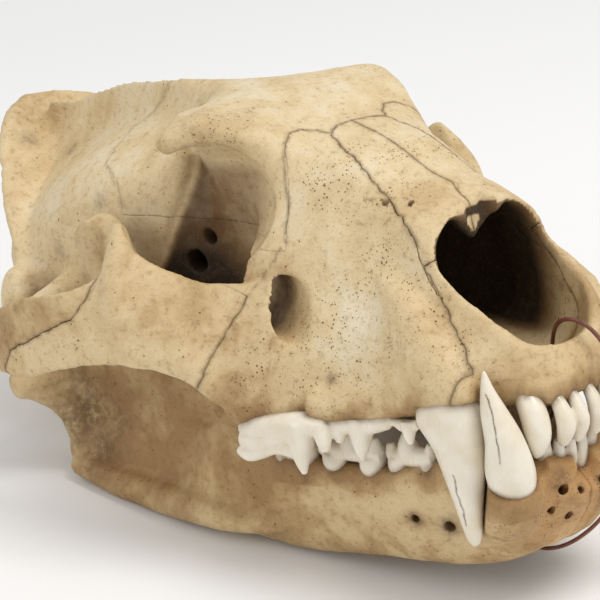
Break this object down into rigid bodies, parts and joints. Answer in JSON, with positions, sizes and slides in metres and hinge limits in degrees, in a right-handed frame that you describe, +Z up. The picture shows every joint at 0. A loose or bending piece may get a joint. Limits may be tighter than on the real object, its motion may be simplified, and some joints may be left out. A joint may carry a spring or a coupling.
{
  "type": "big cat skull",
  "caption": "Life-size skull of a big cat with its lower jaw, teeth closed, standing on the jaw's lower edge, tied at the front with a loop of wire, as a museum model.",
  "frame": {"origin": "centre of the bounding box's bottom, on the floor the lower jaw rests on", "axes": "+Z up; -Y towards the teeth, +Y towards the back of the head; +X to the animal's left"},
  "size_m": [0.2238, 0.3714, 0.1664],
  "materials": {
    "bone": "dry matt bone, cream with brown stains",
    "tooth_enamel": "smooth, slightly glossy off-white enamel with fine cracks",
    "tie_wire": "reddish-brown coated wire"
  },
  "bodies": {
    "root": {"braincase": "bone", "frontal": "bone", "nasal_right": "bone", "nasal_left": "bone", "maxilla_right": "bone", "maxilla_left": "bone", "premaxilla": "bone", "zygomatic_right": "bone", "zygomatic_left": "bone", "mandible_right": "bone", "mandible_left": "bone", "upper_canine_right": "tooth_enamel", "upper_canine_left": "tooth_enamel", "lower_canine_right": "tooth_enamel", "lower_canine_left": "tooth_enamel", "jaw_wire": "tie_wire"}
  },
  "joints": []
}
